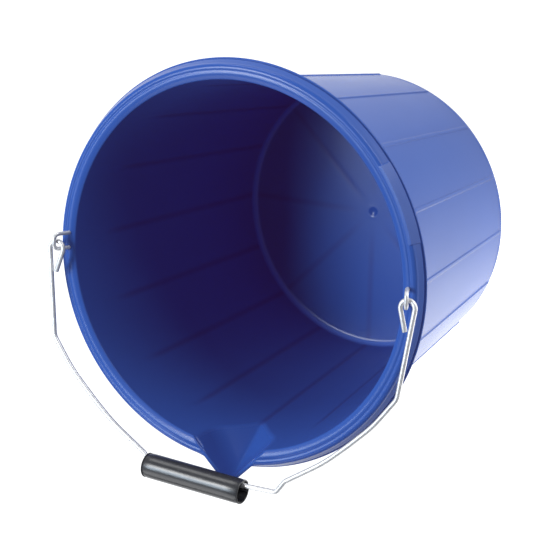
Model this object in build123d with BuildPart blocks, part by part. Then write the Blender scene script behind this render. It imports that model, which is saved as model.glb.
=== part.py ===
from build123d import *

import os
from math import acos, atan2, cos, degrees, hypot, radians, sin, tan

os.makedirs("parts", exist_ok=True)

# Moulded shell: axis on Z, foot ring on Z = 0, pouring spout towards -Y, bail pivots on the X axis.
height = 249.0  # rim top above the foot
base_r = 121.0  # outer wall radius at the foot
wall_top_r = 155.4  # outer wall radius, carried up to the height of the rim
wall = 3.2  # wall thickness, measured radially
floor_top = 6.0
floor_thick = 3.2
floor_fillet = 6.0
foot_inner_r = 114.0
foot_draft = 1.5
foot_edge_r = 1.2

# Rolled rim: a rounded mouth, a shallow valley, an outer bead and a sloping skirt.
mouth_land = 2.6  # radial width and depth of the rounded mouth edge
mouth_bulge = 0.7  # how far the rounding stands off its chord, as a share of its width
valley_r = 158.8
valley_depth = 1.1
crest_r = 162.0
bead_r = 165.0
bead_drop = 3.4
bead_round = 0.28  # the bead's rounding passes this share of its width and drop in from the corner
skirt_r = 168.6
skirt_drop = 12.0
skirt_thick = 2.3
web_thick = 2.6  # the rim's top web, under the valley

# Blank raised plate on the skirt.
plate_start = 14.5  # degrees from +X
plate_end = 38.0
plate_proud = 0.9
plate_margin = 1.2
plate_sink = 1.0

# Stiffening ribs.
wall_ribs = 16
wall_rib_width = 3.2
wall_rib_proud = 1.0
wall_rib_sink = 1.0
wall_rib_low = 4.0
wall_rib_high = 214.0
floor_ribs = 8
floor_rib_width = 2.2
floor_rib_clear = 0.4  # the floor ribs stay this far above the ground
weld = 0.5  # added and cut solids run this far past the faces they meet
gate_r = 5.0
gate_depth = 1.0
gate_taper = 30.0

# Pouring spout: a beak with an upright front edge, a shoulder, and a valley that runs out on the wall.
spout_wall = 3.0
spout_flare = 44.4  # angle between a lip edge and the X axis, degrees
spout_lip = 181.3  # inner tip at the lip
spout_shoulder = 178.0  # inner tip at the shoulder
spout_shoulder_drop = 13.0
spout_fold_slope = 15.8  # the folds sink towards the wall, degrees
spout_fold_flare = 43.2
spout_foot = 142.5  # inner end of the valley line
spout_foot_drop = 60.0
spout_outer_foot_drop = 66.0
spout_back = 138.0  # the beak's solid reaches in to here

# Bail staples: U-shaped wire, clinched under the rim and leaning outwards.
staple_wire = 3.4
staple_x = 157.2
staple_half = 6.3  # half the spacing of the legs
staple_lean = 5.8  # how far out the closed end stands
staple_top = 13.5  # closed end above the rim
staple_corner = 4.5
staple_knee = 4.0
staple_knee_rise = 1.0  # the legs stand straight up to here, then lean out
clinch_half = 13.5
clinch_bend = 1.8
staple_clear = 0.1  # round the legs in their holes, and between the feet and the web

# Bail: one bent wire with hooked ends, drawn in its own plane as (x, distance from the pivot axis).
bail_wire = 4.0
bail_tilt = 4.6  # resting angle of the bail's plane above level, degrees
pivot_rise = 9.2  # pivot axis above the rim
eye_x = 162.7
eye_r = 6.3
tail_tip = (161.9, 25.5)
elbow = (159.6, 79.5)
bow_outer = (140.5, 104.8)
bow_middle = (119.0, 124.8)
bow_inner = (99.5, 141.6)
crimp_outer = (65.9, 162.8)
crimp_inner = (58.4, 173.1)
bail_bends = [12.0, 120.0, 300.0, 150.0, 6.0, 5.0]  # one for each corner from elbow to crimp_inner

# Grip: a moulded C-section tube, a loose fit on the wire, canted against the left crimp.
grip_r = 10.3
grip_bore_r = 8.4
grip_left = (-63.0, 172.2)  # ends of its axis, in the bail's plane
grip_right = (28.5, 178.5)
grip_slot = 3.6
grip_slot_angle = 117.6  # from the outward side, round towards the shell, degrees
grip_end_round = 1.0
grip_ribs = 5
grip_rib_proud = 0.7
grip_rib_width = 1.2
grip_rib_inset = 9.0  # the ribs start this far inside the left end, where the wire's bend needs room


def wall_radius(z):
    """Outer wall radius at a height above the foot."""
    return base_r + (wall_top_r - base_r) * z / height


def radial_plane(angle):
    """Upright plane through the axis: x runs outwards at the angle, y runs up."""
    turn = radians(angle)
    return Plane(origin=(0, 0, 0), x_dir=(cos(turn), sin(turn), 0), z_dir=(sin(turn), -cos(turn), 0))


# --- Shell sections, drawn as (radius, height) ---
under_floor = floor_top - floor_thick
web_under = height - valley_depth - web_thick
skirt_low = height - skirt_drop
foot_outer = (base_r, 0)
foot_inner = (foot_inner_r, 0)
recess_edge = (foot_inner_r - foot_draft, under_floor)
web_inner = (wall_radius(web_under), web_under)
web_outer = (bead_r - skirt_thick, web_under)
skirt_inner = (skirt_r - skirt_thick, skirt_low)
skirt_outer = (skirt_r, skirt_low)
bead_outer = (bead_r, height - bead_drop)
bead_middle = (bead_r - bead_round * (bead_r - crest_r), height - bead_round * bead_drop)
crest = (crest_r, height)
valley = (valley_r, height - valley_depth)
mouth_end = (wall_radius(height) - wall + mouth_land, height)
mouth_middle = (mouth_end[0] - mouth_bulge * mouth_land, height - (1 - mouth_bulge) * mouth_land)
mouth_start = (wall_radius(height - mouth_land) - wall, height - mouth_land)
floor_corner = (wall_radius(floor_top) - wall, floor_top)
above = height + 2


def beak(lip, shoulder, shoulder_drop, foot_drop, top):
    """Solid of the spout: a triangle at the lip, one across the folds, and a point on the wall."""
    lip_half = (lip - spout_back) / tan(radians(spout_flare))
    slope = radians(spout_fold_slope)
    fold_run = (shoulder - spout_back) / cos(slope)
    fold_half = fold_run * cos(slope) / tan(radians(spout_fold_flare))
    fold_plane = Plane(
        origin=(0, -shoulder, height - shoulder_drop), x_dir=(1, 0, 0), z_dir=(0, sin(slope), cos(slope))
    )
    with BuildPart() as solid:
        with BuildSketch(Plane.XY.offset(top)) as lip_section:
            Polygon((0, -lip), (lip_half, -spout_back), (-lip_half, -spout_back), align=None)
        with BuildSketch(fold_plane) as fold_section:
            Polygon((0, 0), (fold_half, fold_run), (-fold_half, fold_run), align=None)
        loft([lip_section.sketch.face(), fold_section.sketch.face()], ruled=True)
        loft(
            [fold_section.sketch.face(), Vertex(0, -spout_foot, height - foot_drop)],
            ruled=True,
        )
    return solid.part


# The outer beak stands one wall outside the inner one.
lip_step = spout_wall / cos(radians(spout_flare))
beak_outer = beak(spout_lip + lip_step, spout_shoulder + lip_step, spout_shoulder_drop, spout_outer_foot_drop, height)
beak_inner = beak(spout_lip, spout_shoulder, spout_shoulder_drop, spout_foot_drop, above)

# --- Hollow of the shell, with the rounded mouth edge ---
with BuildPart() as hollow:
    with BuildSketch(Plane.XZ) as hollow_section:
        with BuildLine():
            Polyline((0, above), (0, floor_top), floor_corner, mouth_start)
            ThreePointArc(mouth_start, mouth_middle, mouth_end)
            Polyline(mouth_end, (mouth_end[0], above), (0, above))
        make_face()
        fillet(hollow_section.vertices().sort_by_distance(floor_corner)[0], floor_fillet)
    revolve(axis=Axis.Z)

# --- Bucket body: turned shell, ribs, spout, plate and staple holes ---
with BuildPart() as bucket_body:
    with BuildSketch(Plane.XZ) as shell_section:
        with BuildLine():
            Polyline((0, height), (0, under_floor), recess_edge, foot_inner, foot_outer, web_inner)
            Polyline(web_inner, web_outer, skirt_inner, skirt_outer, bead_outer)
            ThreePointArc(bead_outer, bead_middle, crest)
            ThreePointArc(crest, valley, mouth_end)
            Line(mouth_end, (0, height))
        make_face()
        fillet(shell_section.vertices().sort_by_distance(foot_outer)[0], foot_edge_r)
    revolve(axis=Axis.Z)

    slope = atan2(wall_top_r - base_r, height)
    rib_run = (wall_rib_high - wall_rib_low) / cos(slope)
    rib_foot_r = wall_radius(wall_rib_low)
    for index in range(wall_ribs):
        turn = radians(index * 360 / wall_ribs)
        out_x = cos(turn)
        out_y = sin(turn)
        rib_plane = Plane(
            origin=(rib_foot_r * out_x, rib_foot_r * out_y, wall_rib_low),
            x_dir=(cos(slope) * out_x, cos(slope) * out_y, -sin(slope)),
            z_dir=(sin(slope) * out_x, sin(slope) * out_y, cos(slope)),
        )
        with BuildSketch(rib_plane):
            with Locations(((wall_rib_proud - wall_rib_sink) / 2, 0)):
                Rectangle(wall_rib_proud + wall_rib_sink, wall_rib_width)
        extrude(amount=rib_run)

    with BuildSketch(Plane.XY.offset(floor_rib_clear)):
        with PolarLocations(0, floor_ribs // 2, 0, 180):
            Rectangle(2 * foot_inner_r, floor_rib_width)
    extrude(amount=under_floor - floor_rib_clear + weld)

    skirt_angle = atan2(skirt_r - bead_r, skirt_drop - bead_drop)
    skirt_length = hypot(skirt_r - bead_r, skirt_drop - bead_drop)
    with BuildSketch(radial_plane(plate_start)):
        with Locations(Location((bead_r, height - bead_drop), degrees(skirt_angle) - 90)):
            with Locations(((plate_margin + skirt_length) / 2, (plate_proud - plate_sink) / 2)):
                Rectangle(skirt_length - plate_margin, plate_proud + plate_sink)
    revolve(axis=Axis.Z, revolution_arc=plate_end - plate_start)

    add(beak_outer)
    add(hollow.part, mode=Mode.SUBTRACT)
    add(beak_inner, mode=Mode.SUBTRACT)

    with BuildSketch(Plane.XY.offset(floor_top)):
        Circle(gate_r)
    extrude(amount=-gate_depth, taper=gate_taper, mode=Mode.SUBTRACT)

    with BuildSketch(Plane.XY.offset(above)):
        with GridLocations(2 * staple_x, 2 * staple_half, 2, 2):
            Circle(staple_wire / 2 + staple_clear)
    extrude(amount=-(above - web_under + weld), mode=Mode.SUBTRACT)


# --- Staples: one bent wire each, mirrored left and right ---
def make_staple(side):
    """Bent wire from one clinched foot, up through the rim, round the closed end and back."""
    foot_z = web_under - staple_wire / 2 - staple_clear
    near = side * staple_x
    far = side * (staple_x + staple_lean)
    points = [
        (near, clinch_half, foot_z),
        (near, staple_half, foot_z),
        (near, staple_half, height + staple_knee_rise),
        (far, staple_half, height + staple_top),
        (far, -staple_half, height + staple_top),
        (near, -staple_half, height + staple_knee_rise),
        (near, -staple_half, foot_z),
        (near, -clinch_half, foot_z),
    ]
    bends = [clinch_bend, staple_knee, staple_corner, staple_corner, staple_knee, clinch_bend]
    with BuildPart() as wire:
        with BuildLine() as route:
            FilletPolyline(*points, radius=bends)
        with BuildSketch(Plane(origin=route.line @ 0, z_dir=route.line % 0)):
            Circle(staple_wire / 2)
        sweep(path=route.line)
    return wire.part


staple_right = make_staple(1)
staple_left = make_staple(-1)

# --- Bail: the wire's centre line in the bail's plane, swept with its round section ---
tilt = radians(bail_tilt)
bail_plane = Plane(
    origin=(0, 0, height + pivot_rise), x_dir=(1, 0, 0), z_dir=(0, -sin(tilt), -cos(tilt))
)


def eye_tangent(point, side):
    """Where a straight from the point meets the eye's circle, on its inner (+1) or outer (-1) side."""
    run_x = point[0] - eye_x
    run_y = point[1] - eye_r
    angle = atan2(run_y, run_x) + side * acos(eye_r / hypot(run_x, run_y))
    return (eye_x + eye_r * cos(angle), eye_r + eye_r * sin(angle))


def mirrored(point):
    return (-point[0], point[1])


tail_root = eye_tangent(tail_tip, 1)
leg_root = eye_tangent(elbow, -1)
eye_top = (eye_x, 0)
half_route = [leg_root, elbow, bow_outer, bow_middle, bow_inner, crimp_outer, crimp_inner]
whole_route = half_route + [mirrored(point) for point in reversed(half_route)]
whole_bends = bail_bends + bail_bends[::-1]

with BuildPart() as bail:
    with BuildLine(bail_plane) as bail_route:
        Line(tail_tip, tail_root)
        ThreePointArc(tail_root, eye_top, leg_root)
        FilletPolyline(*whole_route, radius=whole_bends)
        ThreePointArc(mirrored(leg_root), mirrored(eye_top), mirrored(tail_root))
        Line(mirrored(tail_root), mirrored(tail_tip))
    bail_path = bail_route.wire()
    with BuildSketch(Plane(origin=bail_path @ 0, z_dir=bail_path % 0)):
        Circle(bail_wire / 2)
    sweep(path=bail_path)

# --- Grip: slotted tube along its own axis, ribbed inside, with rounded ends ---
grip_start = bail_plane.from_local_coords((grip_left[0], grip_left[1], 0))
grip_finish = bail_plane.from_local_coords((grip_right[0], grip_right[1], 0))
grip_axis = grip_finish - grip_start
outward = bail_plane.y_dir
grip_plane = Plane(origin=grip_start, x_dir=outward.cross(grip_axis).cross(grip_axis) * -1, z_dir=grip_axis)

with BuildPart() as grip:
    with BuildSketch(grip_plane):
        Circle(grip_r)
        Circle(grip_bore_r, mode=Mode.SUBTRACT)
        with PolarLocations((grip_r + grip_bore_r) / 2, 1, grip_slot_angle):
            Rectangle(2 * grip_r - 2 * grip_bore_r, grip_slot, mode=Mode.SUBTRACT)
    extrude(amount=grip_axis.length)
    with BuildSketch(grip_plane.offset(grip_rib_inset)):
        with PolarLocations(grip_bore_r, grip_ribs, grip_slot_angle + 180 / grip_ribs):
            Rectangle(2 * grip_rib_proud, grip_rib_width)
    extrude(amount=grip_axis.length - grip_rib_inset)
    arcs = grip.edges().filter_by(GeomType.CIRCLE)
    fillet(arcs.group_by(SortBy.RADIUS)[-1], grip_end_round)

# --- Write each piece ---
bucket_body.part.label = "bucket_body"
staple_right.label = "staple_right"
staple_left.label = "staple_left"
bail.part.label = "bail"
grip.part.label = "grip"

export_step(bucket_body.part, "parts/bucket_body.step")
export_step(staple_right, "parts/staple_right.step")
export_step(staple_left, "parts/staple_left.step")
export_step(bail.part, "parts/bail.step")
export_step(grip.part, "parts/grip.step")
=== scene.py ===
from math import acos, atan2, cos, degrees, hypot, pi, radians, sin, tan

import bmesh
import bpy
import numpy as np
from mathutils import Matrix, Vector


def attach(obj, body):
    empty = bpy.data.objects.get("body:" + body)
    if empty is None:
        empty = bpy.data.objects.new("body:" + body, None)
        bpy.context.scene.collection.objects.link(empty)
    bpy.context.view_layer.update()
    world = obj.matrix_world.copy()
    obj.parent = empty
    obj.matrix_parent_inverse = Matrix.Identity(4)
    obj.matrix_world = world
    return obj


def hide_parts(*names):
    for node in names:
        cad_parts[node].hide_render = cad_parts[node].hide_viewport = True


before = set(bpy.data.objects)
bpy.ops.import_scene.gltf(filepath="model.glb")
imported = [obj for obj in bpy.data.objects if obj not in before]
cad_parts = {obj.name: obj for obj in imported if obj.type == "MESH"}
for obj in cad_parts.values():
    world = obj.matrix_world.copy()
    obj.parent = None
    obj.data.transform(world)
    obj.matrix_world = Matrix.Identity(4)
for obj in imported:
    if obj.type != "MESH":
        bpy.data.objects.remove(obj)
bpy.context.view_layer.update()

MM = 0.001  # lengths below are in millimetres, and meshes are written in metres

# --- Sizes of the moulded shell, in the part's frame: foot ring on z = 0, spout towards -Y ---
HEIGHT = 249.0
FOOT_R = 121.0
WALL_TOP_R = 155.4  # outer wall radius, carried up to the height of the rim
WALL = 3.2
FLOOR_TOP = 6.0
FLOOR_UNDER = 2.8
FLOOR_FILLET = 6.0
FOOT_OUTER_ROUND = 1.2
FOOT_INNER_R = 114.0
FOOT_INNER_ROUND = 0.8
FOOT_DRAFT = 1.5
RECESS_ROUND = 0.6
CLOSEST_COLUMNS = 0.07  # degrees between two columns of its mesh

# Rim: heights are drops below its top.
MOUTH_ROUND = 1.9  # the inner wall turns through this radius
MOUTH_SLOPE = 30.0  # into a band that slopes inwards, degrees
MOUTH_DROP = 3.1  # where the rounding starts
RIDGE_R = 157.8  # the band flattens out here
RIDGE_DROP = 0.03
VALLEY_DEPTH = 0.3  # shallow dip between the ridge and the crest
CREST_R = 161.4
BEAD_R = 165.0  # the bead rounds over from the crest to here
BEAD_DROP = 3.4
SKIRT_R = 168.6
SKIRT_DROP = 12.0
SKIRT_THICK = 2.3
SKIRT_EDGE_ROUND = 0.6
GROOVE_DEPTH = 1.2  # shadow groove just above the skirt's lower lip
GROOVE_SPAN = (0.63, 0.88)  # as shares of the skirt's height
WEB_DROP = 3.7
LIP_ROUND = 0.7

# Spout: points of its inner folds on the +X side, and its wall.
SPOUT_ANGLE = 270.0
SPOUT_TIP = (0.0, -181.3, 0.0)
SPOUT_LIP_SLOPE = 44.4
SPOUT_SHOULDER = (0.0, -178.0, -13.0)
SPOUT_FOLD_END = (36.5, -143.8, -22.7)
SPOUT_FOOT = (0.0, -143.0, -60.0)
SPOUT_WALL = 3.0
SPOUT_HALF_ANGLE = 17.0
SPOUT_DEEP = 70.0  # below this drop the spout has run out
SPOUT_FOLD_ROUND = 4.5  # how softly its faces meet each other
SPOUT_VALLEY_ROUND = 0.010  # and how softly its two halves meet

# Ribs, sink marks, gate mark and the plate.
RIB_COUNT = 16
RIB_PROUD = 0.9
RIB_LOW = 4.0
RIB_HIGH = 214.0
RIB_FLANK = (0.46, 0.78)  # half-angles in degrees between which a rib falls to the wall
PANEL_SINK = 0.25  # the wall between two ribs shrinks in by this much
SINK_DEPTH = 0.22
SINK_HALF_ANGLE = 1.7
BAR_COUNT = 8
BAR_WIDTH = 2.2  # bars beneath the floor
BAR_LOW = 0.4
BAR_START = 2.6
BAR_END = 113.4
FLOOR_SINK_DEPTH = 0.04
FLOOR_SINK_HALF = 5.0
GATE_R = 4.1
GATE_DEPTH = 1.0
GATE_RING = 0.04
PLATE_START = 14.5
PLATE_END = 38.0
PLATE_TOP = (164.2, -0.4)  # radius and drop of the flat plate's ends
PLATE_LOW = (168.2, -8.4)

# The plastic: how wide and how strong the painted shade over ribs and bars is, and its two finishes.
RIB_SHADE_HALF = 4.4
BAR_SHADE_HALF = 4.6
BAR_SHADE = 0.65
GLOSS_IOR = 1.30
SATIN_IOR = 1.17
VIOLET_TRACE = 0.0115

# --- Wire and grip ---
STAPLE_WIRE = 3.4
STAPLE_X = 157.2  # its holes in the rim
STAPLE_HALF = 6.3  # half the width between its legs
STAPLE_LEAN = 5.8  # its top leans outwards by this much
STAPLE_TOP = 13.5
STAPLE_FEET_DROP = 5.5
STAPLE_BENDS = [1.8, 4.0, 4.5, 4.5, 4.0, 1.8]  # bend radii from foot to foot
CLINCH_HALF = 13.5
BAIL_WIRE = 4.0
BAIL_TILT = 4.6  # degrees that the bail's plane rises towards the spout
PIVOT_RISE = 9.2  # pivot axis above the rim
# The bail's own plane: x along the pivot axis, then the reach away from it.
EYE_X = 162.7
EYE_R = 6.3
TAIL_TIP = (161.9, 25.5)
BAIL_HALF = [(159.6, 79.5), (140.5, 104.8), (119.0, 124.8), (99.5, 141.6), (65.9, 162.8), (58.4, 173.1)]
BAIL_BENDS = [12.0, 120.0, 300.0, 150.0, 6.0, 5.0]
CLOSEST_POINTS = 0.02  # along a wire
NOT_ALONG_A_WIRE = (0.31, 0.17, 0.93)  # no wire starts in this direction
GRIP_R = 10.3
GRIP_BORE_R = 8.4
GRIP_ENDS = ((-63.0, 172.2), (28.5, 178.5))
GRIP_SLOT = 3.6
GRIP_SLOT_ANGLE = 117.6  # round the grip, from straight out
GRIP_RIBS = 5
GRIP_RIB_PROUD = 0.7
GRIP_RIB_WIDTH = 1.2
GRIP_RIB_INSET = 9.0  # the inner ribs stop short of the left end
GRIP_END_ROUND = 1.0

# --- Camera: where it looks, from where, and its roll ---
CAMERA_TARGET = (41.13, -2.14, 249.0)
CAMERA_DISTANCE = 2390.3
CAMERA_AZIMUTH = 27.83
CAMERA_ELEVATION = 57.99
CAMERA_ROLL = -112.317
CAMERA_LENS = 194.59

# --- Studio, in metres ---
FLOOR_HALF = 6.0
FLOOR_GAP = 0.0003  # the sheet is just clear of the foot, so that the two don't flicker
FLOOR_GLOW = 0.97  # how bright the sheet is by itself
FLOOR_POOLS = [  # brighter patches: middle, radii where each starts and stops fading, added glow
    ((2.0, 1.05, 0.0), 0.7, 1.5, 3.0),
    ((0.26, -0.13, 0.0), 0.04, 0.30, 2.4),
]
LIGHTS_AIM = Vector((0.0, 0.0, 0.12))
WHITE = (1.0, 1.0, 1.0)
PALE_BLUE = (0.72, 0.86, 1.0)
LIGHTS = [  # name, azimuth, elevation, distance, size, watts, colour
    ("key", 150.0, 60.0, 2.2, 0.6, 24.0, WHITE),
    ("side", 52.0, 9.0, 2.0, 1.0, 18.0, WHITE),
    ("low", 240.0, 34.0, 2.0, 1.2, 12.0, WHITE),
    ("back", 112.0, 15.0, 2.0, 0.8, 9.0, WHITE),
    ("sheen", 181.0, 62.5, 2.03, 0.7, 22.0, PALE_BLUE),
]


# ---------------------------------------------------------------- small helpers
def smooth_step(low, high, value):
    t = np.clip((value - low) / (high - low), 0.0, 1.0)
    return t * t * (3.0 - 2.0 * t)


def smooth_min(a, b, size):
    t = np.clip(0.5 + 0.5 * (b - a) / size, 0.0, 1.0)
    return b * (1.0 - t) + a * t - size * t * (1.0 - t)


def smooth_max(a, b, size):
    return -smooth_min(-a, -b, size)


def arc(centre, radius, start, end, count):
    """Points of an arc, angles in degrees, both ends included."""
    turns = np.radians(np.linspace(start, end, count))
    return [(centre[0] + radius * cos(t), centre[1] + radius * sin(t)) for t in turns]


def direction(azimuth, elevation):
    """Unit vector towards an azimuth and elevation given in degrees."""
    turn, rise = radians(azimuth), radians(elevation)
    return Vector((cos(turn) * cos(rise), sin(turn) * cos(rise), sin(rise)))


def link_object(name, data):
    obj = bpy.data.objects.new(name, data)
    bpy.context.scene.collection.objects.link(obj)
    return obj


def new_object(name, vertices, faces, body, slot):
    """Mesh object from millimetre points, riding on its body."""
    mesh = bpy.data.meshes.new(name)
    mesh.from_pydata([tuple(v) for v in np.asarray(vertices, float) * MM], [], faces)
    mesh.update()
    obj = link_object(name, mesh)
    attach(obj, body)
    return obj


def finish_mesh(obj, merge, sharp_angle):
    """Merges collapsed points, points the faces outwards and shades smooth up to an angle."""
    work = bmesh.new()
    work.from_mesh(obj.data)
    bmesh.ops.remove_doubles(work, verts=work.verts, dist=merge * MM)
    bmesh.ops.dissolve_degenerate(work, edges=work.edges, dist=merge * MM * 0.5)
    bmesh.ops.recalc_face_normals(work, faces=work.faces)
    for face in work.faces:
        face.smooth = True
    for edge in work.edges:
        if len(edge.link_faces) == 2 and edge.calc_face_angle(0.0) > radians(sharp_angle):
            edge.smooth = False
    work.to_mesh(obj.data)
    work.free()


def grid_faces(rings, size, first=0):
    """Quads between neighbouring closed rings of equal size."""
    faces = []
    for ring in range(rings - 1):
        low, high = first + ring * size, first + (ring + 1) * size
        for index in range(size):
            after = (index + 1) % size
            faces.append((low + index, low + after, high + after, high + index))
    return faces


def end_caps(rings, size, first=0):
    """One face across the first ring and one across the last."""
    last = first + (rings - 1) * size
    return [tuple(range(first, first + size))[::-1], tuple(range(last, last + size))]


# ---------------------------------------------------------------- the shell's spout
def plane_through(a, b, c):
    """Unit normal (pointing away from the axis) and offset of a plane through three points."""
    a, b, c = (np.array(p) for p in (a, b, c))
    normal = np.cross(b - a, c - a)
    normal /= np.linalg.norm(normal)
    if normal @ a < 0:
        normal = -normal
    return normal, normal @ a


LIP_POINT = (100.0, SPOUT_TIP[1] + 100.0 * tan(radians(SPOUT_LIP_SLOPE)), 0.0)
SIDE_PLANE = plane_through(SPOUT_TIP, SPOUT_SHOULDER, LIP_POINT)
CHEEK_PLANE = plane_through(SPOUT_SHOULDER, SPOUT_FOLD_END, SPOUT_FOOT)


def spout_reach(angle, drop, step):
    """Radius of the spout's folded faces at an angle and a (negative) drop, moved out by step."""
    turn = np.radians(angle - SPOUT_ANGLE)
    across = np.sqrt(np.sin(turn) ** 2 + SPOUT_VALLEY_ROUND ** 2)
    ahead = np.cos(turn)

    def reach(plane):
        normal, offset = plane
        toward = normal[0] * across - normal[1] * ahead
        return (offset + step - normal[2] * drop) / np.maximum(toward, 0.05)

    folded = smooth_min(reach(SIDE_PLANE), reach(CHEEK_PLANE), SPOUT_FOLD_ROUND)
    return np.where(ahead > 0.5, folded, 0.0)


# ---------------------------------------------------------------- the shell
def shell_columns():
    """Angles of the mesh's columns in degrees: close together at ribs, plate ends and spout."""
    offsets = [0.0, 0.3, 0.5, 0.62, 0.74, 0.95, 1.3, 1.7, 2.1, 2.8, 3.8, 5.2, 6.8, 8.6, 10.4]
    half_pitch = 180.0 / RIB_COUNT
    angles = []
    for index in range(RIB_COUNT):
        centre = 2 * index * half_pitch
        reach = 2.0 if centre == SPOUT_ANGLE else half_pitch
        angles += [centre + side * offset for side in (-1, 1) for offset in offsets if offset < reach]
    for end in (PLATE_START, PLATE_END):
        angles += [end + step for step in (-0.35, -0.2, -0.05, 0.1, 0.25, 0.4)]
    for half, count in ((SPOUT_HALF_ANGLE, 103), (1.0, 17)):
        angles += list(np.linspace(SPOUT_ANGLE - half, SPOUT_ANGLE + half, count))
    angles = sorted(set(round(angle % 360.0, 3) for angle in angles))
    kept = [angles[0]]
    for angle in angles[1:]:
        if angle - kept[-1] > CLOSEST_COLUMNS:
            kept.append(angle)
    return np.array(kept)


def wall_radius(z):
    return FOOT_R + (WALL_TOP_R - FOOT_R) * z / HEIGHT


def angle_from_line(angle, count):
    """Signed angle to the nearest of count evenly spaced lines, in degrees."""
    pitch = 360.0 / count
    return (angle + pitch / 2) % pitch - pitch / 2


def outer_reach(height):
    """Radius of the spout's outer faces in every column."""
    return spout_reach(ANGLE, height - HEIGHT, SPOUT_WALL)


# The shell is a grid. Each row holds a radius and a height for every column, or one for all columns.
ANGLE = shell_columns()
RIB_ANGLE = angle_from_line(ANGLE, RIB_COUNT)
EDGE = HEIGHT - SKIRT_DROP
LIP_IN = spout_reach(ANGLE, 0.0, 0.0)
LIP_OUT = spout_reach(ANGLE, 0.0, SPOUT_WALL)
IN_LIP = smooth_step(CREST_R - 6.0, CREST_R + 1.0, LIP_IN)  # 1 where the spout has replaced the rim
CHANNEL = 1.0 - smooth_step(157.0, 166.0, outer_reach(EDGE))  # 0 where the spout fills it under the skirt


def floor_rows():
    """Floor inside: gate mark with its ring, radial sink marks over the bars, and the fillet."""
    bar_angle = angle_from_line(ANGLE, BAR_COUNT)
    end = wall_radius(FLOOR_TOP + FLOOR_FILLET) - WALL - FLOOR_FILLET
    gate_radii = [0.8, 2.0, 3.0, 3.7, 4.3, 4.8, 5.3, 6.0, 7.5, 10.0]
    rows = []
    for radius in gate_radii + list(np.arange(14.0, end - 1.0, 4.0)) + [end]:
        off_line = np.abs(radius * np.sin(np.radians(bar_angle)))
        sink = FLOOR_SINK_DEPTH * (1.0 - smooth_step(0.0, FLOOR_SINK_HALF, off_line))
        sink = sink * smooth_step(10.0, 26.0, radius) * (1.0 - smooth_step(end - 8.0, end, radius))
        hollow = GATE_DEPTH * (1.0 - smooth_step(0.6, GATE_R + 0.6, radius))
        ring = GATE_RING * np.exp(-(((radius - GATE_R - 1.0) / 0.9) ** 2))
        rows.append((radius, FLOOR_TOP - sink - hollow + ring))
    return rows + arc((end, FLOOR_TOP + FLOOR_FILLET), FLOOR_FILLET, -82.0, -8.0, 9)


def inner_wall_rows():
    """Inner wall, with sink marks behind the ribs, and the spout's folds above."""
    spout_low = HEIGHT - SPOUT_DEEP
    heights = list(np.arange(FLOOR_TOP + FLOOR_FILLET + 1.0, spout_low, 6.0))
    heights += list(np.arange(spout_low, HEIGHT - 5.0, 1.5)) + [HEIGHT - MOUTH_DROP]
    rows = []
    for height in heights:
        lift = (MOUTH_DROP - LIP_ROUND) * IN_LIP * smooth_step(HEIGHT - 16.0, HEIGHT - MOUTH_DROP, height)
        sink = SINK_DEPTH * (1.0 - smooth_step(0.0, SINK_HALF_ANGLE, np.abs(RIB_ANGLE)))
        sink = sink * smooth_step(14.0, 30.0, height) * (1.0 - smooth_step(196.0, 224.0, height))
        folds = spout_reach(ANGLE, height + lift - HEIGHT, 0.0)
        rows.append((smooth_max(wall_radius(height) - WALL + sink, folds, 1.6), height + lift))
    return rows


def plate_face(height):
    """Radius of the blank plate's flat face, which bridges the bead and the skirt, or 0 off the plate."""
    share = (HEIGHT + PLATE_TOP[1] - height) / (PLATE_TOP[1] - PLATE_LOW[1])
    face = PLATE_TOP[0] + (PLATE_LOW[0] - PLATE_TOP[0]) * share
    on_plate = smooth_step(PLATE_START - 0.15, PLATE_START + 0.2, ANGLE)
    on_plate = on_plate * (1.0 - smooth_step(PLATE_END - 0.2, PLATE_END + 0.15, ANGLE))
    return face * on_plate * ((share > -0.05) & (share < 1.0))


def rim_profile(mouth_r):
    """Points across the rim's top: rounded mouth, sloping band, shallow valley and bead."""
    points = arc((mouth_r + MOUTH_ROUND, HEIGHT - MOUTH_DROP), MOUTH_ROUND, 168.0, 90.0 + MOUTH_SLOPE, 6)
    start_r, start_z = points[-1]
    rise = HEIGHT - RIDGE_DROP - start_z
    bend = tan(radians(MOUTH_SLOPE)) * (RIDGE_R - start_r) / rise
    for share in np.linspace(0.0, 1.0, 10)[1:]:
        points.append((start_r + (RIDGE_R - start_r) * share, start_z + rise * (1 - (1 - share) ** bend)))
    for share in np.linspace(0.0, 1.0, 10)[1:]:
        radius = RIDGE_R + (CREST_R - RIDGE_R) * share
        points.append((radius, HEIGHT - RIDGE_DROP * (1 - share) - VALLEY_DEPTH * sin(pi * share) ** 2))
    for share in np.linspace(0.0, 1.0, 9)[1:]:
        turn = radians(90.0 * share)
        points.append((CREST_R + (BEAD_R - CREST_R) * sin(turn), HEIGHT - BEAD_DROP * (1 - cos(turn))))
    return points


def rim_rows():
    """The rim's top, which narrows to a lip at the spout and carries the plate's upper end."""
    mouth_r = wall_radius(HEIGHT - MOUTH_DROP) - WALL
    rows = []
    for radius, height in rim_profile(mouth_r):
        share = (radius - mouth_r) / (BEAD_R - mouth_r)
        lip_height = HEIGHT - LIP_ROUND * abs(2.0 * share - 1.0) ** 3
        height = height + (lip_height - height) * IN_LIP
        if radius > CREST_R:
            radius = np.maximum(radius, plate_face(height))
        reach = LIP_IN + (LIP_OUT - LIP_IN) * share
        rows.append((smooth_max(radius, reach, 0.5), height))
    return rows


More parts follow.
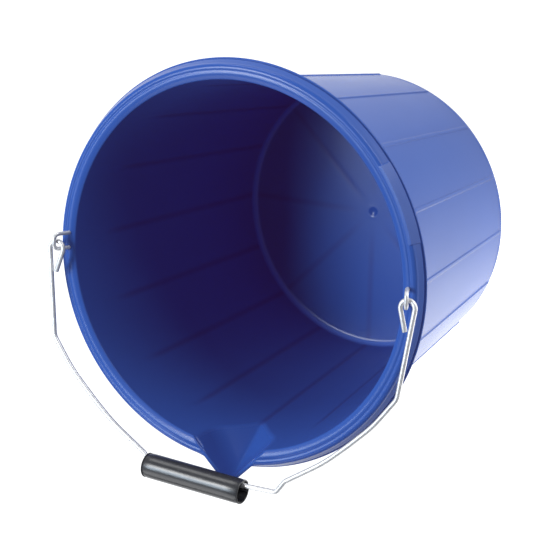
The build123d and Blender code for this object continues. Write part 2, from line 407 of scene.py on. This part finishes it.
def skirt_rows():
    """Skirt outside, with the plate and the shadow groove, down to its rounded edge."""
    top = HEIGHT - BEAD_DROP + (BEAD_DROP - LIP_ROUND) * IN_LIP
    low = EDGE + SKIRT_EDGE_ROUND
    groove_top, groove_low = GROOVE_SPAN
    rows = []
    for share in (0.08, 0.16, 0.25, 0.35, 0.45, 0.53, 0.58, 0.61, 0.63, 0.65, 0.67, 0.7, 0.76, 0.81,
                  0.84, 0.86, 0.88, 0.90, 0.93, 0.96, 1.0):
        height = top + (low - top) * share
        groove = smooth_step(groove_top - 0.01, groove_top + 0.07, share)
        groove = GROOVE_DEPTH * groove * (1.0 - smooth_step(groove_low - 0.07, groove_low + 0.01, share))
        radius = BEAD_R + (SKIRT_R - BEAD_R) * share - groove
        radius = np.maximum(radius, plate_face(height) * (share < groove_top))
        rows.append((smooth_max(radius, outer_reach(height), 0.6), height))
    for step, rise in ((0.0, 0.6), (-0.12, 0.25), (-0.45, 0.04), (-1.15, 0.0), (-1.85, 0.04), (-2.2, 0.3)):
        rows.append((np.maximum(SKIRT_R + step, outer_reach(EDGE)), EDGE + rise * CHANNEL))
    return rows


def channel_rows():
    """Channel under the skirt: up inside the skirt, across the web and down to the wall."""
    web = HEIGHT - WEB_DROP
    skirt_in = SKIRT_R - SKIRT_THICK
    web_in, web_out = wall_radius(web), BEAD_R - SKIRT_THICK
    points = [(skirt_in + (web_out - skirt_in) * up, EDGE + (web - EDGE) * up) for up in (0.3, 0.6, 0.85)]
    points += [(web_out - 0.4, web - 0.25), (web_out - 1.3, web)]
    points += [(web_in + 3.0, web), (web_in + 1.2, web - 0.2), (web_in + 0.35, web - 0.8)]
    rows = []
    for radius, height in points:
        height = EDGE + (height - EDGE) * CHANNEL
        rows.append((np.maximum(radius, outer_reach(height)), height))
    return rows


def outer_wall(height):
    """Radius of the outer wall with its ribs; between them it sinks in a little."""
    fade = smooth_step(RIB_LOW - 1.0, RIB_LOW + 1.5, height)
    fade = fade * (1.0 - smooth_step(RIB_HIGH - 14.0, RIB_HIGH, height))
    rib = RIB_PROUD * (1.0 - smooth_step(*RIB_FLANK, np.abs(RIB_ANGLE)))
    sink = PANEL_SINK * np.sin(np.radians(RIB_ANGLE) * RIB_COUNT / 2) ** 2
    return wall_radius(height) + (rib - sink) * fade


def outer_wall_rows():
    """Outer wall from the channel down to the foot, merging into the spout above."""
    rows = []
    for height in np.linspace(HEIGHT - 5.5, EDGE, 6):
        height = EDGE + (height - EDGE) * CHANNEL
        rows.append((smooth_max(outer_wall(height), outer_reach(height), 1.2 * CHANNEL + 0.01), height))
    heights = list(np.arange(EDGE - 1.5, HEIGHT - 76.0, -1.5)) + list(np.arange(HEIGHT - 78.0, 9.0, -6.0))
    for height in heights + [7.0, 5.5, 4.5, 3.8, 3.2, 2.4, 1.6]:
        blend = 1.8 - 0.6 * smooth_step(EDGE - 9.0, EDGE, height)
        rows.append((smooth_max(outer_wall(height), outer_reach(height), blend), height))
    return rows


def foot_rows():
    """Foot ring, and the recess beneath the floor."""
    outer, inner, corner = FOOT_OUTER_ROUND, FOOT_INNER_ROUND, RECESS_ROUND
    points = arc((FOOT_R - outer, outer), outer, 0.0, -90.0, 6) + [(FOOT_R - 4.0, 0.0)]
    points += arc((FOOT_INNER_R + inner, inner), inner, -90.0, -170.0, 5)
    points += arc((FOOT_INNER_R - FOOT_DRAFT - corner, FLOOR_UNDER - corner), corner, 10.0, 90.0, 5)
    return points + [(radius, FLOOR_UNDER) for radius in (105.0, 90.0, 70.0, 50.0, 30.0, 15.0, 8.0, 3.0)]


def shell_mesh():
    """One closed skin, from the middle of the floor inside, over the rim, to the middle beneath."""
    rows = floor_rows() + inner_wall_rows() + rim_rows() + skirt_rows()
    rows += channel_rows() + outer_wall_rows() + foot_rows()
    radius = np.array([row[0] + 0.0 * ANGLE for row in rows])
    height = np.array([row[1] + 0.0 * ANGLE for row in rows])
    turn = np.radians(ANGLE)
    points = np.stack([radius * np.cos(turn), radius * np.sin(turn), height], axis=-1)
    faces = grid_faces(len(rows), len(ANGLE)) + end_caps(len(rows), len(ANGLE))
    return points.reshape(-1, 3), faces


def floor_bars_mesh():
    """Low radial bars beneath the floor, rounded at their lower edge."""
    half = BAR_WIDTH / 2
    profile = [(-half, FLOOR_UNDER + 0.2), (-half, BAR_LOW + 0.5)]
    profile += [(-half + 0.15, BAR_LOW + 0.15), (-half + 0.5, BAR_LOW)]
    profile += [(-across, height) for across, height in reversed(profile)]
    vertices, faces = [], []
    for turn in np.linspace(0.0, 2 * pi, BAR_COUNT, endpoint=False):
        first = len(vertices)
        for along in (BAR_START, BAR_END):
            for across, height in profile:
                x = along * cos(turn) - across * sin(turn)
                y = along * sin(turn) + across * cos(turn)
                vertices.append((x, y, height))
        faces += grid_faces(2, len(profile), first) + end_caps(2, len(profile), first)
    return vertices, faces


# ---------------------------------------------------------------- wire
def bent_path(corners, bends, step=5.0):
    """Polyline through corners, each inner one rounded to its bend radius with a point every step degrees."""
    corners = [np.array(c, float) for c in corners]
    path = [corners[0]]
    for before, corner, after, bend in zip(corners, corners[1:], corners[2:], bends):
        back = (before - corner) / np.linalg.norm(before - corner)
        ahead = (after - corner) / np.linalg.norm(after - corner)
        turn = pi - acos(np.clip(back @ ahead, -1.0, 1.0))
        reach = bend * tan(turn / 2)
        inward = (back + ahead) / np.linalg.norm(back + ahead)
        centre = corner + inward * bend / cos(turn / 2)
        first = corner + back * reach - centre
        last = corner + ahead * reach - centre
        steps = max(3, int(degrees(turn) / step))
        for angle in np.linspace(0.0, turn, steps + 1):
            path.append(centre + (first * sin(turn - angle) + last * sin(angle)) / sin(turn))
    path.append(corners[-1])
    return path


def tube(name, path, radius, sides, body, slot, end_round):
    """Round wire along a path, with rounded cut ends."""
    path = np.array(path, float)
    keep = [0]
    for index in range(1, len(path)):
        if np.linalg.norm(path[index] - path[keep[-1]]) > CLOSEST_POINTS:
            keep.append(index)
    path = path[keep]
    tangents = np.gradient(path, axis=0)
    tangents[0] = path[1] - path[0]
    tangents[-1] = path[-1] - path[-2]
    tangents /= np.linalg.norm(tangents, axis=1)[:, None]
    side = np.cross(tangents[0], NOT_ALONG_A_WIRE)
    frames = []
    for point, tangent in zip(path, tangents):
        side = side - tangent * (side @ tangent)
        side /= np.linalg.norm(side)
        frames.append((point, tangent, side, np.cross(tangent, side)))

    def rounded(end_frame, inward, turns):
        point, tangent, side, up = end_frame
        rings = []
        for turn in turns:
            middle = point + inward * tangent * end_round * (1 - sin(turn))
            rings.append((middle, side, up, radius - end_round * (1 - cos(turn))))
        return rings

    turns = np.radians([0.0, 30.0, 60.0, 90.0])
    rings = rounded(frames[0], 1, turns[::-1])
    rings += [(point, side, up, radius) for point, _, side, up in frames[1:-1]]
    rings += rounded(frames[-1], -1, turns)
    vertices = []
    for point, side, up, size in rings:
        for turn in np.linspace(0.0, 2 * pi, sides, endpoint=False):
            vertices.append(point + size * (cos(turn) * side + sin(turn) * up))
    faces = grid_faces(len(rings), sides) + end_caps(len(rings), sides)
    obj = new_object(name, vertices, faces, body, slot)
    finish_mesh(obj, 0.001, 50.0)
    return obj


def on_bail(x, reach):
    """Point of the bail's own plane: x along the pivot axis, reach away from it."""
    tilt = radians(BAIL_TILT)
    return np.array((x, -reach * cos(tilt), HEIGHT + PIVOT_RISE + reach * sin(tilt)))


def eye_tangent(point, side):
    """Angle at which a straight line from a point meets the eye's circle, on one side of it."""
    run_x = point[0] - EYE_X
    run_y = point[1] - EYE_R
    return atan2(run_y, run_x) + side * acos(EYE_R / hypot(run_x, run_y))


def bail_path():
    """One hooked half from its tail to the middle, then its mirror image."""
    tail_angle = eye_tangent(TAIL_TIP, 1)
    leg_angle = eye_tangent(BAIL_HALF[0], -1)
    if tail_angle > leg_angle:
        tail_angle -= 2 * pi
    hook = [(EYE_X + EYE_R * cos(a), EYE_R + EYE_R * sin(a)) for a in np.linspace(tail_angle, leg_angle, 40)]

    def mirrored(points):
        return [(-x, reach) for x, reach in reversed(points)]

    corners = [hook[-1]] + BAIL_HALF
    body = bent_path(corners + mirrored(corners), BAIL_BENDS + BAIL_BENDS[::-1], 2.5)
    hooked_end = [TAIL_TIP] + hook
    return [on_bail(*point) for point in hooked_end + list(body[1:-1]) + mirrored(hooked_end)]


def staple_path(side):
    """U through the rim that leans outwards above it, with its feet clinched apart below."""
    near = side * STAPLE_X
    far = side * (STAPLE_X + STAPLE_LEAN)
    low = HEIGHT - STAPLE_FEET_DROP
    half = [(near, CLINCH_HALF, low), (near, STAPLE_HALF, low), (near, STAPLE_HALF, HEIGHT + 1.0),
            (far, STAPLE_HALF, HEIGHT + STAPLE_TOP)]
    return bent_path(half + [(x, -y, z) for x, y, z in reversed(half)], STAPLE_BENDS)


# ---------------------------------------------------------------- grip
def grip_mesh():
    """Slotted tube with rounded ends and inner ribs, as a strip from one slot edge to the other."""
    start, finish = (on_bail(*end) for end in GRIP_ENDS)
    axis = finish - start
    length = np.linalg.norm(axis)
    axis /= length
    outward = on_bail(0.0, 1.0) - on_bail(0.0, 0.0)
    x_dir = -np.cross(np.cross(outward, axis), axis)
    x_dir /= np.linalg.norm(x_dir)
    y_dir = np.cross(axis, x_dir)

    # Around: shares of the way from one slot edge to the other, closer together near the edges.
    share = np.linspace(0.0, 1.0, 121)
    share = share * 0.7 + (np.sin((share - 0.5) * pi) * 0.5 + 0.5) * 0.3

    def around(radius):
        half_slot = degrees(GRIP_SLOT / 2 / radius)
        return GRIP_SLOT_ANGLE + half_slot + share * (360.0 - 2 * half_slot)

    outer_angle, inner_angle = around(GRIP_R), around(GRIP_BORE_R)
    pitch = 360.0 / GRIP_RIBS
    from_rib = (inner_angle - GRIP_SLOT_ANGLE) % pitch - pitch / 2
    across = np.abs(np.radians(from_rib)) * GRIP_BORE_R
    rib = GRIP_RIB_PROUD * (1.0 - smooth_step(GRIP_RIB_WIDTH / 2 - 0.3, GRIP_RIB_WIDTH / 2 + 0.3, across))
    slot_edge = (1.0 - np.clip(np.minimum(share, 1.0 - share) / 0.012, 0.0, 1.0)) ** 2

    # Along: how far from the left end, and how far the rounded ends draw in.
    ends = [(GRIP_END_ROUND * (1 - sin(turn)), GRIP_END_ROUND * (1 - cos(turn)))
            for turn in np.radians([0.0, 22.5, 45.0, 67.5, 90.0])]
    stations = ends + [(GRIP_RIB_INSET + step, 0.0) for step in (-5.0, -0.4, -0.15, 0.15, 0.4)]
    stations += [(length * part, 0.0) for part in np.linspace(0.16, 0.96, 10)]
    stations += [(length - along, inset) for along, inset in reversed(ends)]
    vertices = []
    for along, inset in stations:
        present = smooth_step(GRIP_RIB_INSET - 0.3, GRIP_RIB_INSET + 0.3, along)
        outer = GRIP_R - inset - 0.35 * slot_edge
        inner = GRIP_BORE_R - rib * present + 0.25 * inset + 0.2 * slot_edge
        for sizes, angles in ((outer, outer_angle), (inner, inner_angle)):
            for size, turn in zip(sizes, np.radians(angles)):
                vertices.append(start + axis * along + size * (cos(turn) * x_dir + sin(turn) * y_dir))

    # Each station is the outer strip's points followed by the inner strip's.
    count = len(share)
    ring = 2 * count
    faces = []
    for low in range(0, (len(stations) - 1) * ring, ring):
        high = low + ring
        for index in range(count - 1):
            faces.append((low + index, low + index + 1, high + index + 1, high + index))
            faces.append((low + count + index + 1, low + count + index,
                          high + count + index, high + count + index + 1))
        faces.append((low, high, high + count, low + count))
        faces.append((low + count - 1, low + 2 * count - 1, high + 2 * count - 1, high + count - 1))
    for base, step in ((0, 1), ((len(stations) - 1) * ring, -1)):
        for index in range(count - 1):
            quad = (base + index, base + count + index, base + count + index + 1, base + index + 1)
            faces.append(quad[::step])
    return vertices, faces


# ---------------------------------------------------------------- materials
class Surface:
    """A Principled material, with short calls for the procedural nodes that feed it."""

    MIX_UNDER, MIX_OVER, MIX_RESULT = 6, 7, 2  # the colour sockets of a Mix node

    def __init__(self, name):
        self.material = bpy.data.materials.new(name)
        self.material.use_nodes = True
        self.nodes = self.material.node_tree.nodes
        self.links = self.material.node_tree.links
        self.shader = next(node for node in self.nodes if node.type == "BSDF_PRINCIPLED")
        self.place = self.nodes.new("ShaderNodeTexCoord").outputs["Object"]

    def put(self, socket, value):
        """Links a socket to another, or sets it to a number or a colour."""
        if isinstance(value, bpy.types.NodeSocket):
            self.links.new(value, socket)
        else:
            socket.default_value = value

    def feed(self, name, value):
        self.put(self.shader.inputs[name], value)

    def noise(self, scale, detail, coordinates=None):
        node = self.nodes.new("ShaderNodeTexNoise")
        node.inputs["Scale"].default_value = scale
        node.inputs["Detail"].default_value = detail
        self.links.new(coordinates or self.place, node.inputs["Vector"])
        return node.outputs["Fac"]

    def stretched(self, scale):
        """The object coordinates, scaled along each axis."""
        node = self.nodes.new("ShaderNodeMapping")
        node.inputs["Scale"].default_value = scale
        self.links.new(self.place, node.inputs["Vector"])
        return node.outputs["Vector"]

    def ramp(self, value, first, last):
        """Colour that runs from first at 0 to last at 1."""
        node = self.nodes.new("ShaderNodeValToRGB")
        for element, color in zip(node.color_ramp.elements, (first, last)):
            element.color = (*color, 1.0)
        self.links.new(value, node.inputs["Fac"])
        return node.outputs["Color"]

    def mix(self, share, under, over, blend_type="MIX"):
        node = self.nodes.new("ShaderNodeMix")
        node.data_type = "RGBA"
        node.blend_type = blend_type
        self.put(node.inputs["Factor"], share)
        self.put(node.inputs[self.MIX_UNDER], under)
        self.put(node.inputs[self.MIX_OVER], over)
        return node.outputs[self.MIX_RESULT]

    def calc(self, operation, *values):
        """Math node; each value is a socket or a number."""
        node = self.nodes.new("ShaderNodeMath")
        node.operation = operation
        for socket, value in zip(node.inputs, values):
            self.put(socket, value)
        return node.outputs[0]

    def product(self, first, *others):
        for other in others:
            first = self.calc("MULTIPLY", first, other)
        return first

    def one_minus(self, value):
        return self.calc("SUBTRACT", 1.0, value)

    def below(self, value, low, high):
        """1 where value is below low, fading to 0 at high."""
        node = self.nodes.new("ShaderNodeMapRange")
        node.interpolation_type = "SMOOTHSTEP"
        for name, number in (("From Min", low), ("From Max", high), ("To Min", 1.0), ("To Max", 0.0)):
            node.inputs[name].default_value = number
        self.links.new(value, node.inputs["Value"])
        return node.outputs["Result"]

    def distance_from(self, point):
        node = self.nodes.new("ShaderNodeVectorMath")
        node.operation = "DISTANCE"
        self.links.new(self.place, node.inputs[0])
        node.inputs[1].default_value = point
        return node.outputs["Value"]

    def bump(self, height, strength, distance):
        node = self.nodes.new("ShaderNodeBump")
        node.inputs["Strength"].default_value = strength
        node.inputs["Distance"].default_value = distance
        self.links.new(height, node.inputs["Height"])
        self.feed("Normal", node.outputs["Normal"])


def grey(value):
    return (value, value, value)


def wall_masks(plastic):
    """Masks of the inner wall, the outer wall, the painted shade lines inside and the painted light ring
    round the floor.
    """
    split = plastic.nodes.new("ShaderNodeSeparateXYZ")
    plastic.links.new(plastic.place, split.inputs[0])
    x, y, z = split.outputs
    radius = plastic.calc("SQRT", plastic.calc("ADD", plastic.product(x, x), plastic.product(y, y)))
    turn = plastic.calc("ARCTAN2", y, x)

    def near_line(count, half_width):
        """1 on evenly spaced radial lines, fading to 0 at half_width millimetres beside them."""
        share = plastic.product(turn, count / (2 * pi))
        off = plastic.calc("ABSOLUTE", plastic.calc("SUBTRACT", share, plastic.calc("ROUND", share)))
        across = plastic.product(off, 2 * pi / count, radius)
        return plastic.below(across, 0.0, half_width * MM)

    def below_height(low, high):
        return plastic.below(z, low * MM, high * MM)

    # Taking the wall's taper off the radius tells the inside of the wall from its outside.
    taper = (WALL_TOP_R - FOOT_R) / HEIGHT
    depth = plastic.calc("SUBTRACT", radius, plastic.product(z, taper))
    inside = plastic.below(depth, (FOOT_R - WALL + 1.0) * MM, (FOOT_R - WALL + 2.0) * MM)
    on_floor = below_height(FLOOR_TOP + 2.0, FLOOR_TOP + 7.0)
    off_floor = plastic.one_minus(on_floor)
    below_skirt = below_height(HEIGHT - 20.0, HEIGHT - 14.0)
    inner_wall = plastic.product(inside, off_floor)
    outer_wall = plastic.product(below_skirt, plastic.one_minus(inside))

    # Painted shade: the colour is darkened in lines over the ribs and the bars behind the translucent wall,
    # where the thicker plastic lets less light through.
    rib_height = plastic.product(off_floor, below_height(RIB_HIGH - 30.0, RIB_HIGH))
    over_ribs = plastic.product(near_line(RIB_COUNT, RIB_SHADE_HALF), rib_height)
    off_gate = plastic.one_minus(plastic.below(radius, 8.0 * MM, 40.0 * MM))
    over_bars = plastic.product(near_line(BAR_COUNT, BAR_SHADE_HALF), on_floor, off_gate, BAR_SHADE)
    painted_shade_lines = plastic.product(plastic.calc("ADD", over_ribs, over_bars), inside)

    # Painted light: the colour is made lighter on the fillet between the floor and the wall, where light
    # comes through the plastic.
    past_floor = plastic.one_minus(below_height(FLOOR_TOP, FLOOR_TOP + 0.8))
    low_wall = below_height(FLOOR_TOP + 1.5, FLOOR_TOP + FLOOR_FILLET)
    fillet = plastic.product(past_floor, low_wall, inside)
    return inner_wall, outer_wall, painted_shade_lines, fillet


def shell_material(name, index_of_refraction):
    """Blue moulded polypropylene: soft gloss, faint flow clouding and fine orange peel."""
    plastic = Surface(name)
    inner_wall, outer_wall, painted_shade_lines, fillet = wall_masks(plastic)
    blue = plastic.ramp(plastic.noise(14.0, 3.0), (0.018, 0.076, 0.315), (0.023, 0.088, 0.35))
    # Painted shade over the ribs and bars is multiplied into the blue.
    blue_with_painted_shade = plastic.mix(painted_shade_lines, blue, (0.95, 0.70, 0.74, 1.0), "MULTIPLY")
    # Painted light on the fillet round the floor: a lighter blue is mixed in there.
    plastic.feed("Base Color", plastic.mix(fillet, blue_with_painted_shade, (0.062, 0.15, 0.50, 1.0)))

    smear = plastic.noise(50.0, 1.0, plastic.stretched((1.0, 1.0, 0.25)))
    polish = plastic.calc("MULTIPLY_ADD", smear, 0.06, 0.20)
    satin = plastic.calc("MULTIPLY_ADD", outer_wall, 0.01, polish)
    plastic.feed("Roughness", plastic.calc("MULTIPLY_ADD", inner_wall, 0.17, satin))
    plastic.feed("IOR", index_of_refraction)
    # A trace of violet stands in for the light that passes through the wall.
    plastic.feed("Emission Color", (1.0, 0.2, 0.7, 1.0))
    plastic.feed("Emission Strength", VIOLET_TRACE)
    plastic.bump(plastic.noise(220.0, 0.0), 0.03, 0.0001)
    return plastic.material


def wire_material():
    """Galvanised wire: bright zinc with a dull spangle and a fine grain."""
    zinc = Surface("galvanised_wire")
    spangle = zinc.noise(350.0, 3.0)
    zinc.feed("Base Color", zinc.ramp(spangle, (0.55, 0.55, 0.56), (0.84, 0.84, 0.85)))
    zinc.feed("Metallic", 0.5)
    zinc.feed("Roughness", zinc.ramp(spangle, grey(0.28), grey(0.46)))
    zinc.bump(zinc.noise(900.0, 2.0), 0.12, 0.0002)
    return zinc.material


def grip_material():
    """Black moulded plastic with a satin sheen and faint streaks across the grip."""
    plastic = Surface("black_plastic")
    grain = plastic.noise(700.0, 2.0)
    plastic.feed("Base Color", plastic.ramp(grain, (0.024, 0.024, 0.027), (0.044, 0.044, 0.048)))
    streak = plastic.noise(500.0, 2.0, plastic.stretched((0.1, 1.0, 1.0)))
    plastic.feed("Roughness", plastic.ramp(streak, grey(0.20), grey(0.36)))
    plastic.bump(grain, 0.15, 0.0002)
    return plastic.material


def floor_material():
    """White studio sheet that glows, with brighter patches that the outer wall reflects."""
    sheet = Surface("studio_floor")
    sheet.feed("Base Color", sheet.ramp(sheet.noise(3.0, 2.0), grey(0.20), grey(0.22)))
    sheet.feed("Roughness", 0.9)
    sheet.feed("Emission Color", (1.0, 1.0, 1.0, 1.0))
    glow = FLOOR_GLOW
    for middle, near, far, added in FLOOR_POOLS:
        pool = sheet.below(sheet.distance_from(middle), near, far)
        glow = sheet.calc("MULTIPLY_ADD", pool, added, glow)
    sheet.feed("Emission Strength", glow)
    sheet.material.cycles.emission_sampling = "NONE"
    return sheet.material


# ---------------------------------------------------------------- build the pieces
shell = new_object("moulded_shell", *shell_mesh(), "bucket", "shell_blue")
finish_mesh(shell, 0.02, 60.0)
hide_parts("bucket_body")

bars = new_object("floor_bars", *floor_bars_mesh(), "bucket", "shell_blue")
finish_mesh(bars, 0.001, 60.0)

bail = tube("bail_wire", bail_path(), BAIL_WIRE / 2, 24, "bail", "galvanised_wire", 0.5)
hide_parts("bail")

wires = [bail]
for name, side in (("staple_right", 1), ("staple_left", -1)):
    wire = tube(name + "_wire", staple_path(side), STAPLE_WIRE / 2, 20, "bucket", "galvanised_wire", 0.4)
    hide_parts(name)
    wires.append(wire)

grip = new_object("grip_tube", *grip_mesh(), "grip", "grip_black")
finish_mesh(grip, 0.001, 40.0)
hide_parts("grip")

# The outer wall below the skirt has the more satin finish.
plastic = shell_material("blue_polypropylene", GLOSS_IOR)
shell.data.materials.append(plastic)
shell.data.materials.append(shell_material("blue_polypropylene_satin", SATIN_IOR))
for polygon in shell.data.polygons:
    radius = hypot(polygon.center.x, polygon.center.y) / MM
    height = polygon.center.z / MM
    on_outside = height < EDGE and radius > wall_radius(height) - WALL / 2
    polygon.material_index = 1 if on_outside else 0
bars.data.materials.append(plastic)
zinc = wire_material()
for wire in wires:
    wire.data.materials.append(zinc)
grip.data.materials.append(grip_material())

# ---------------------------------------------------------------- floor, light and camera
sheet = bpy.data.meshes.new("floor")
corners = [(-FLOOR_HALF, -FLOOR_HALF, 0), (FLOOR_HALF, -FLOOR_HALF, 0),
           (FLOOR_HALF, FLOOR_HALF, 0), (-FLOOR_HALF, FLOOR_HALF, 0)]
sheet.from_pydata(corners, [], [(0, 1, 2, 3)])
sheet.materials.append(floor_material())
floor = link_object("floor", sheet)
floor.location.z = -FLOOR_GAP

for name, azimuth, elevation, distance, size, watts, color in LIGHTS:
    lamp = bpy.data.lights.new(name, "AREA")
    lamp.size = size
    lamp.energy = watts
    lamp.color = color
    light = link_object(name, lamp)
    away = direction(azimuth, elevation)
    light.location = away * distance + LIGHTS_AIM
    light.rotation_euler = away.to_track_quat("Z", "Y").to_euler()
    light.visible_camera = False

world = bpy.data.worlds.new("studio")
bpy.context.scene.world = world
world.use_nodes = True
background = next(node for node in world.node_tree.nodes if node.type == "BACKGROUND")
background.inputs["Color"].default_value = (0.9, 0.93, 1.0, 1.0)
background.inputs["Strength"].default_value = 0.15

lens = bpy.data.cameras.new("camera")
lens.sensor_width = 36.0
lens.lens = CAMERA_LENS
lens.clip_end = 30.0
camera = link_object("camera", lens)
back = direction(CAMERA_AZIMUTH, CAMERA_ELEVATION)
level = Vector((0.0, 0.0, 1.0)).cross(back).normalized()
upright = back.cross(level)
roll = radians(CAMERA_ROLL)
right = level * cos(roll) + upright * sin(roll)
above = upright * cos(roll) - level * sin(roll)
axes = Matrix((right, above, back)).transposed().to_4x4()
camera.matrix_world = Matrix.Translation((Vector(CAMERA_TARGET) + back * CAMERA_DISTANCE) * MM) @ axes
bpy.context.scene.camera = camera
bpy.context.scene.view_settings.view_transform = "Standard"
